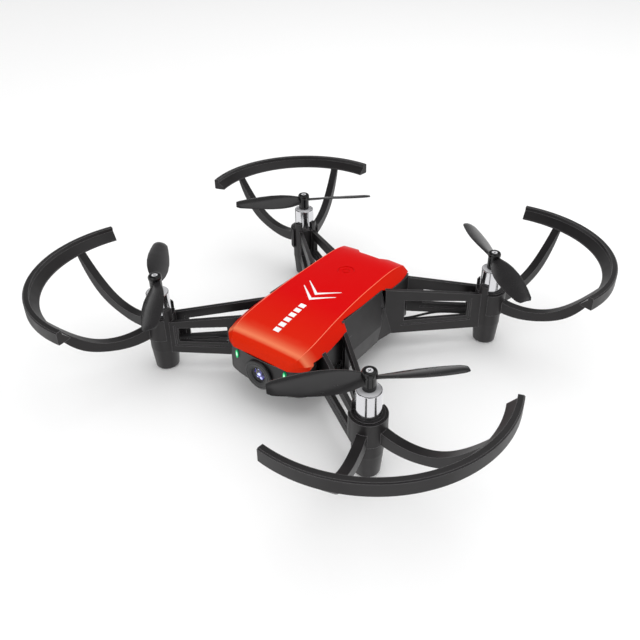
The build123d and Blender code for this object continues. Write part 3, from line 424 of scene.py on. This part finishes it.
def make_can(corner):
    """Polished can with a rolled rim and a flat satin lid."""
    place = rotor_centre(corner)
    bm = bmesh.new()
    side = [
        (0, CAN_LOW), (CAN_R - 0.03, CAN_LOW), (CAN_R, CAN_LOW + 0.28),
        (CAN_R, CAN_TOP - 0.2), (CAN_R - 0.22, CAN_TOP), (CAN_R - 0.35, CAN_TOP),
    ]
    seat = [(CAN_R - 0.35, CAN_TOP - 0.1), (0, CAN_TOP - 0.1)]
    lathe(bm, soften(side, CAN_ROUND) + seat, place, CAN_SIDES)
    lid = [
        (0, CAN_TOP - 0.3), (LID_R, CAN_TOP - 0.3), (LID_R, CAN_TOP - 0.02),
        (LID_FLAT_R, CAN_TOP + 0.02), (0, CAN_TOP + 0.02),
    ]
    lathe(bm, soften(lid, LID_ROUND), place, CAN_SIDES, 1)
    can = solid(f"can_{corner}", bm, MATERIALS["motor_can"], CAN_LID)
    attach(can, "airframe")
    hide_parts(f"motor_can_{corner}")


# Blade outline: radius, edge ahead and edge behind the blade's line, pitch in degrees, thickness.
BLADE = [
    (1.4, 2.1, 2.0, 33, 1.5),
    (3.2, 2.6, 2.6, 31, 1.2),
    (6.0, 3.4, 3.5, 28.5, 0.95),
    (10.0, 4.1, 4.2, 25, 0.85),
    (15.0, 4.4, 4.4, 21.5, 0.75),
    (20.0, 4.2, 4.1, 18.5, 0.65),
    (25.0, 3.6, 3.5, 15.5, 0.55),
    (28.5, 3.0, 3.0, 13.5, 0.5),
    (30.0, 2.7, 2.6, 13, 0.45),
    (30.7, 2.3, 2.1, 13, 0.4),
    (31.0, 1.7, 1.5, 13, 0.3),
]
BLADE_Z = 37.7
BLADE_ROOT = 1.0
BLADE_TIP = 31.0
BLADE_RINGS = 44
BLADE_CAMBER = 0.075
# Points along each of a blade section's two faces.
SECTION_POINTS = 14
# The outline is averaged over this reach along the blade, so that its edges have no kinks.
BLADE_BLUR = 0.6
# Half thickness of a section: its share at mid chord, what the front gains and the back loses, and an
# extra that fades to nothing at both edges.
MIDDLE_SHARE = 0.72
FRONT_SHARE = 0.28
EXTRA_HALF = 0.05
HUB_R = 2.3
HUB_LOW = 33.8
HUB_TOP = 41.0
HUB_ROUND = 0.22
HUB_SIDES = 64
CAP_R = 2.55
# Direction of one blade at rest, in degrees from +X towards +Y.
REST_ANGLES = {"front_left": 44.5, "rear_right": 44.5, "front_right": 135, "rear_left": 135}
# Rotors that turn clockwise, seen from above.
CLOCKWISE = ("front_left", "rear_right")


def between(rows, value):
    """Row of a table at a first-column value, along straight lines between its rows."""
    for before, after in zip(rows, rows[1:]):
        if value <= after[0]:
            t = (value - before[0]) / (after[0] - before[0])
            return [a + (b - a) * t for a, b in zip(before, after)]
    return list(rows[-1])


def blade_ring(place, angle, hand, radius):
    """Aerofoil section of a blade: cambered, blunt in front, thin behind."""
    steps = (-BLADE_BLUR, 0.0, BLADE_BLUR)
    near = [between(BLADE, max(BLADE[0][0], min(BLADE[-1][0], radius + step))) for step in steps]
    row = [sum(values) / 3 for values in zip(*near)]
    ahead, behind, pitch, thick = row[1:]
    out = Vector((math.cos(math.radians(angle)), math.sin(math.radians(angle)), 0))
    lead = Vector((0, 0, 1)).cross(out)
    tilt = math.radians(-hand * pitch)
    chord = ahead + behind
    points = []
    for k in range(2 * SECTION_POINTS):
        t = math.cos(math.pi * k / SECTION_POINTS)
        share = (t + 1) / 2
        u = -ahead + chord * (1 - share)
        bow = chord * BLADE_CAMBER * (1 - t * t)
        half = thick / 2 * math.sqrt(max(1 - t * t, 0.0)) * (MIDDLE_SHARE + FRONT_SHARE * t)
        half += EXTRA_HALF * (1 - t * t)
        v = bow + (half if k < SECTION_POINTS else -half)
        u *= hand
        points.append(
            Vector((place[0], place[1], BLADE_Z))
            + out * radius
            + lead * (u * math.cos(tilt) - v * math.sin(tilt))
            + Vector((0, 0, u * math.sin(tilt) + v * math.cos(tilt)))
        )
    return points


def make_propeller(corner):
    """Two blades on a tall hub with a wider cap and a screw recess."""
    place = rotor_centre(corner)
    hand = 1 if corner in CLOCKWISE else -1
    bm = bmesh.new()
    reach = BLADE_TIP - BLADE_ROOT
    radii = [BLADE_ROOT + reach * k / BLADE_RINGS for k in range(BLADE_RINGS)]
    radii += [BLADE_TIP - 0.4, BLADE_TIP - 0.15, BLADE_TIP]
    for turn in (0, 180):
        skin(bm, [blade_ring(place, REST_ANGLES[corner] + turn, hand, radius) for radius in radii])
    hub = [
        (0, HUB_LOW), (HUB_R - 0.2, HUB_LOW), (HUB_R - 0.02, HUB_LOW + 0.2), (HUB_R, HUB_TOP - 2.2),
        (CAP_R - 0.02, HUB_TOP - 1.7), (CAP_R, HUB_TOP - 0.8), (CAP_R - 0.35, HUB_TOP - 0.15),
        (1.7, HUB_TOP), (1.3, HUB_TOP), (1.2, HUB_TOP - 0.3), (1.17, HUB_TOP - 0.9), (0, HUB_TOP - 0.9),
    ]
    lathe(bm, soften(hub, HUB_ROUND), place, HUB_SIDES, 1)
    propeller = solid(f"blades_{corner}", bm, MATERIALS["propeller_black"], HUB_BLACK)
    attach(propeller, f"rotor_{corner}")
    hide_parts(f"propeller_{corner}")


for corner_name in CORNERS:
    make_can(corner_name)
    make_propeller(corner_name)


# ------------------------------------------------------------------ camera and lights in the nose

CAMERA_Z = 15.3
RING_R = 5.95
RING_BACK = -42.45
RING_ROUND = 0.1
RING_SIDES = 96
COLLAR_BACK = -40.9


def turned_forward(bm, profile, sides):
    """Turned ring round the camera's axis, from (radius, y) points that end where they start."""
    rings = []
    for radius, y in profile:
        turn = [2 * math.pi * k / sides for k in range(sides)]
        rings.append([(radius * math.cos(t), y, CAMERA_Z + radius * math.sin(t)) for t in turn])
    skin(bm, rings, capped=False)


def make_bezel():
    """Wide flat ring with a stepped rim and a fine groove round the lens."""
    bm = bmesh.new()
    profile = [
        (4.3, COLLAR_BACK), (4.3, -42.7), (3.1, -42.7), (2.95, -42.9), (3.05, -43.15), (3.3, -43.2),
        (3.45, -43.0), (3.6, -43.2), (4.7, -43.38), (4.85, -43.2), (5.0, -43.4), (5.6, -43.38),
        (RING_R - 0.05, -43.2), (RING_R, -42.9), (RING_R, RING_BACK),
        (4.55, RING_BACK), (4.55, COLLAR_BACK), (4.3, COLLAR_BACK),
    ]
    turned_forward(bm, soften(profile, RING_ROUND, 2), RING_SIDES)
    bezel = solid("camera_ring", bm, MATERIALS["black_gloss"])
    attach(bezel, "airframe")
    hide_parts("camera_bezel")


make_bezel()


# ------------------------------------------------------------------ printed marks on the top shell

# Heights of a printed patch's two faces over the shell.
PRINT_TOP = 0.035
PRINT_UNDER = -0.05
# Cells across a printed patch.
PATCH_CELLS = 4
# Chevrons: where their points lie, half width, how far back their ends reach, and width along Y.
CHEVRON_TIPS = (-13.0, -9.4)
CHEVRON_HALF_W = 7.5
CHEVRON_RISE = 6.4
CHEVRON_STROKE = 1.5
CHEVRON_END_STROKE = 0.4
CHEVRON_STEPS = 10
BLOCK_COUNT = 6
BLOCK_FIRST_Y = -32.6
BLOCK_STEP = 2.9
BLOCK_LENGTH = 2.0
BLOCK_HALF_W = 1.3
BLOCK_STEPS = 4
# Height above the whole drone, from which rays are cast down at the shell.
RAY_START_Z = 80.0


def surface_tree(obj):
    """Search tree of an object's surface, for casting rays at it."""
    mesh = bmesh.new()
    mesh.from_mesh(obj.data)
    mesh.transform(obj.matrix_world)
    tree = BVHTree.FromBMesh(mesh)
    mesh.free()
    return tree


def shell_height(tree, x, y):
    """Height of the top shell's upper face over a point, in millimetres."""
    hit = tree.ray_cast(Vector((x, y, RAY_START_Z)) * MM, Vector((0, 0, -1)))[0]
    return hit.z / MM


def print_patch(bm, tree, outline, steps):
    """Thin printed patch between two edges, following the shell."""
    (a0, a1), (b0, b1) = outline
    top = []
    for i in range(steps + 1):
        t = i / steps
        left = Vector(a0).lerp(Vector(a1), t)
        right = Vector(b0).lerp(Vector(b1), t)
        top.append([left.lerp(right, j / PATCH_CELLS) for j in range(PATCH_CELLS + 1)])

    def lifted(point, lift):
        height = shell_height(tree, point.x, point.y) + lift
        return bm.verts.new(Vector((point.x, point.y, height)) * MM)

    layers = [[[lifted(point, lift) for point in row] for row in top] for lift in (PRINT_TOP, PRINT_UNDER)]
    for layer in layers:
        for i in range(steps):
            for j in range(PATCH_CELLS):
                bm.faces.new((layer[i][j], layer[i][j + 1], layer[i + 1][j + 1], layer[i + 1][j]))
    upper, lower = layers
    border = [(0, j) for j in range(PATCH_CELLS)] + [(i, PATCH_CELLS) for i in range(steps)]
    border += [(steps, j) for j in range(PATCH_CELLS, 0, -1)] + [(i, 0) for i in range(steps, 0, -1)]
    for (i, j), (k, m) in zip(border, border[1:] + border[:1]):
        bm.faces.new((upper[i][j], upper[k][m], lower[k][m], lower[i][j]))


def make_marks():
    """Generic print: two open chevrons that point forwards, and a row of equal blocks ahead of them."""
    tree = surface_tree(NODES["top_shell"])
    bm = bmesh.new()
    for tip in CHEVRON_TIPS:
        for side in (1, -1):
            x = side * CHEVRON_HALF_W
            start = ((0, tip), (x, tip + CHEVRON_RISE))
            end = ((0, tip + CHEVRON_STROKE), (x, tip + CHEVRON_RISE + CHEVRON_END_STROKE))
            print_patch(bm, tree, (start, end), CHEVRON_STEPS)
    for k in range(BLOCK_COUNT):
        start = BLOCK_FIRST_Y + k * BLOCK_STEP
        end = start + BLOCK_LENGTH
        sides = [((x, start), (x, end)) for x in (-BLOCK_HALF_W, BLOCK_HALF_W)]
        print_patch(bm, tree, sides, BLOCK_STEPS)
    marks = solid("printed_marks", bm, MARK_WHITE)
    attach(marks, "airframe")


make_marks()


# Top crease of the shell: y, half width.
CREASE = [
    (-41.0, 13.2),
    (-39.4, 14.7),
    (-36.4, 15.4),
    (-32.0, 15.8),
    (-26.0, 15.7),
    (-18.0, 15.3),
    (-8.0, 14.9),
    (4.0, 14.5),
    (16.0, 14.3),
    (25.0, 14.3),
    (30.4, 14.6),
]
# The crease is averaged over this reach along Y, so that the bead has no kinks.
CREASE_BLUR = 2
CREASE_R = 0.14
# How far the bead's centre lies under the shell's skin.
CREASE_SINK = 0.04
CREASE_RINGS = 121
CREASE_SIDES = 8
# The bead starts at 4/20 of its radius and gains 1/20 with each ring.
FADE_START = 4
FADE_STEPS = 20


def make_creases():
    """Fine rounded bead along each upper crease of the shell, in a light orange that is a painted highlight
    where the light catches it.
    """
    tree = surface_tree(NODES["top_shell"])
    front, back = CREASE[0][0], CREASE[-1][0]
    turn = [2 * math.pi * j / CREASE_SIDES for j in range(CREASE_SIDES)]
    bm = bmesh.new()
    for side in (1, -1):
        rings = []
        for k in range(CREASE_RINGS):
            y = front + (back - front) * k / (CREASE_RINGS - 1)
            steps = (-CREASE_BLUR, 0, CREASE_BLUR)
            near = [between(CREASE, max(front, min(back, y + step)))[1] for step in steps]
            x = side * (near[0] + 2 * near[1] + near[2]) / 4
            from_end = min(k, CREASE_RINGS - 1 - k)
            radius = CREASE_R * min(1.0, (from_end + FADE_START) / FADE_STEPS)
            centre = shell_height(tree, x, y) - CREASE_SINK
            rings.append([(x + radius * math.cos(t), y, centre + radius * math.sin(t)) for t in turn])
        skin(bm, rings)
    creases = solid("shell_crease_highlights", bm, CREASE_HIGHLIGHT)
    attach(creases, "airframe")


make_creases()


# ------------------------------------------------------------------ floor, light and camera


# Dark stripes: direction round the vertical from +X towards +Y, and half width, in degrees.
STRIPES = ((-81, 4), (-3, 4), (168, 11))
STRIPE_LEVEL = 0.03
STRIPE_EDGE = 2
# What polished parts see in the floor, and the floor's side in metres.
FLOOR_GLOW = 0.95
FLOOR_SIZE = 60.0
# Strength of the surroundings as light, and in reflections at the horizon and overhead.
WORLD_LIGHT = 0.95
WORLD_SHEEN_LOW = 1.1
WORLD_SHEEN_HIGH = 0.12
# Upward slopes of a reflected ray between which the horizon turns into the ceiling.
SHEEN_LOW_Z = 0.0
SHEEN_HIGH_Z = 0.5
# Softboxes: name, place and target and size in metres, power in watts.
SOFTBOXES = [
    ("top_softbox", (0.12, 0.22, 0.75), (0, 0, 0), (0.9, 0.7), 1.7),
    ("front_softbox", (-0.05, -0.75, 0.4), (0, -0.02, 0.02), (0.7, 0.3), 0.9),
    ("side_softbox", (0.7, -0.1, 0.4), (0, 0, 0.02), (0.5, 0.35), 0.25),
]
# Camera: place, degrees below the level and round the vertical, and lens and frame width in millimetres.
CAMERA_PLACE = (131.4 * MM, -178.8 * MM, 168.6 * MM)
CAMERA_DOWN = 30.37
CAMERA_ROUND = 35.65
CAMERA_LENS = 37.99
CAMERA_WIDTH = 36.0
# Shift of the picture, as a share of its width.
CAMERA_SHIFT = (-0.0255, -0.0807)


def stripes(m, direction):
    """Light level by direction: dark upright stripes, as a studio's black cards give in polished metal."""
    split = m.put("ShaderNodeSeparateXYZ")
    m.link(direction, split.inputs[0])
    angle = m.maths("ARCTAN2", split.outputs["Y"], split.outputs["X"])
    light = None
    for centre, half in STRIPES:
        away = m.maths("ABSOLUTE", m.maths("SUBTRACT", angle, math.radians(centre)))
        inner = math.radians(half - STRIPE_EDGE)
        outer = math.radians(half + STRIPE_EDGE)
        share = m.spread(away, STRIPE_LEVEL, 1.0, inner, outer)
        light = share if light is None else m.maths("MULTIPLY", light, share)
    return light


def make_floor():
    """Pale matte floor that polished parts see as a bright sheet with the dark stripes."""
    bpy.ops.mesh.primitive_plane_add(size=FLOOR_SIZE)
    floor = bpy.context.object
    floor.name = "floor"
    m = Nodes("pale_floor")
    m.link(m.mix(m.noise(3.0), rgb(250, 250, 250), rgb(248, 248, 248)), m.shader.inputs["Base Color"])
    m.set(Roughness=0.6, Specular_IOR_Level=0.2)
    path = m.put("ShaderNodeLightPath")
    glow = m.put("ShaderNodeEmission")
    flip = m.put("ShaderNodeVectorMath", operation="SCALE")
    flip.inputs["Scale"].default_value = -1.0
    m.link(m.put("ShaderNodeNewGeometry").outputs["Incoming"], flip.inputs[0])
    shine = m.maths("MULTIPLY", stripes(m, flip.outputs["Vector"]), FLOOR_GLOW)
    m.link(shine, glow.inputs["Strength"])
    blend = m.put("ShaderNodeMixShader")
    m.link(path.outputs["Is Glossy Ray"], blend.inputs[0])
    m.link(m.shader.outputs[0], blend.inputs[1])
    m.link(glow.outputs[0], blend.inputs[2])
    m.link(blend.outputs[0], m.tree.nodes["Material Output"].inputs["Surface"])
    dress(floor, m.material)


def area_light(name, place, target, size, power):
    """White rectangular softbox aimed at a point."""
    data = bpy.data.lights.new(name, "AREA")
    data.shape = "RECTANGLE"
    data.size, data.size_y = size
    data.energy = power
    light = bpy.data.objects.new(name, data)
    bpy.context.scene.collection.objects.link(light)
    light.location = place
    light.rotation_euler = (Vector(target) - Vector(place)).to_track_quat("-Z", "Y").to_euler()


def make_camera():
    """Camera at the viewpoint of a product shot, above the nose and to the drone's left."""
    data = bpy.data.cameras.new("camera")
    data.sensor_width = CAMERA_WIDTH
    data.lens = CAMERA_LENS
    data.shift_x, data.shift_y = CAMERA_SHIFT
    data.clip_start = 0.01
    camera = bpy.data.objects.new("camera", data)
    bpy.context.scene.collection.objects.link(camera)
    camera.location = CAMERA_PLACE
    camera.rotation_euler = (math.radians(90 - CAMERA_DOWN), 0.0, math.radians(CAMERA_ROUND))
    bpy.context.scene.camera = camera


def make_world():
    """White surroundings for soft light; reflections see a bright horizon under a dark ceiling."""
    world = bpy.data.worlds.new("studio")
    bpy.context.scene.world = world
    world.use_nodes = True
    tree = world.node_tree
    background = tree.nodes["Background"]
    background.inputs["Color"].default_value = (1.0, 1.0, 1.0, 1.0)
    path = tree.nodes.new("ShaderNodeLightPath")
    split = tree.nodes.new("ShaderNodeSeparateXYZ")
    tree.links.new(tree.nodes.new("ShaderNodeTexCoord").outputs["Generated"], split.inputs[0])
    sheen = tree.nodes.new("ShaderNodeMapRange")
    sheen.interpolation_type = "SMOOTHSTEP"
    sheen.inputs["From Min"].default_value = SHEEN_LOW_Z
    sheen.inputs["From Max"].default_value = SHEEN_HIGH_Z
    sheen.inputs["To Min"].default_value = WORLD_SHEEN_LOW
    sheen.inputs["To Max"].default_value = WORLD_SHEEN_HIGH
    tree.links.new(split.outputs["Z"], sheen.inputs["Value"])
    level = tree.nodes.new("ShaderNodeMapRange")
    level.inputs["To Min"].default_value = WORLD_LIGHT
    tree.links.new(sheen.outputs["Result"], level.inputs["To Max"])
    tree.links.new(path.outputs["Is Glossy Ray"], level.inputs["Value"])
    tree.links.new(level.outputs["Result"], background.inputs["Strength"])


make_floor()
make_world()
for softbox in SOFTBOXES:
    area_light(*softbox)
make_camera()
bpy.context.scene.view_settings.view_transform = "Standard"
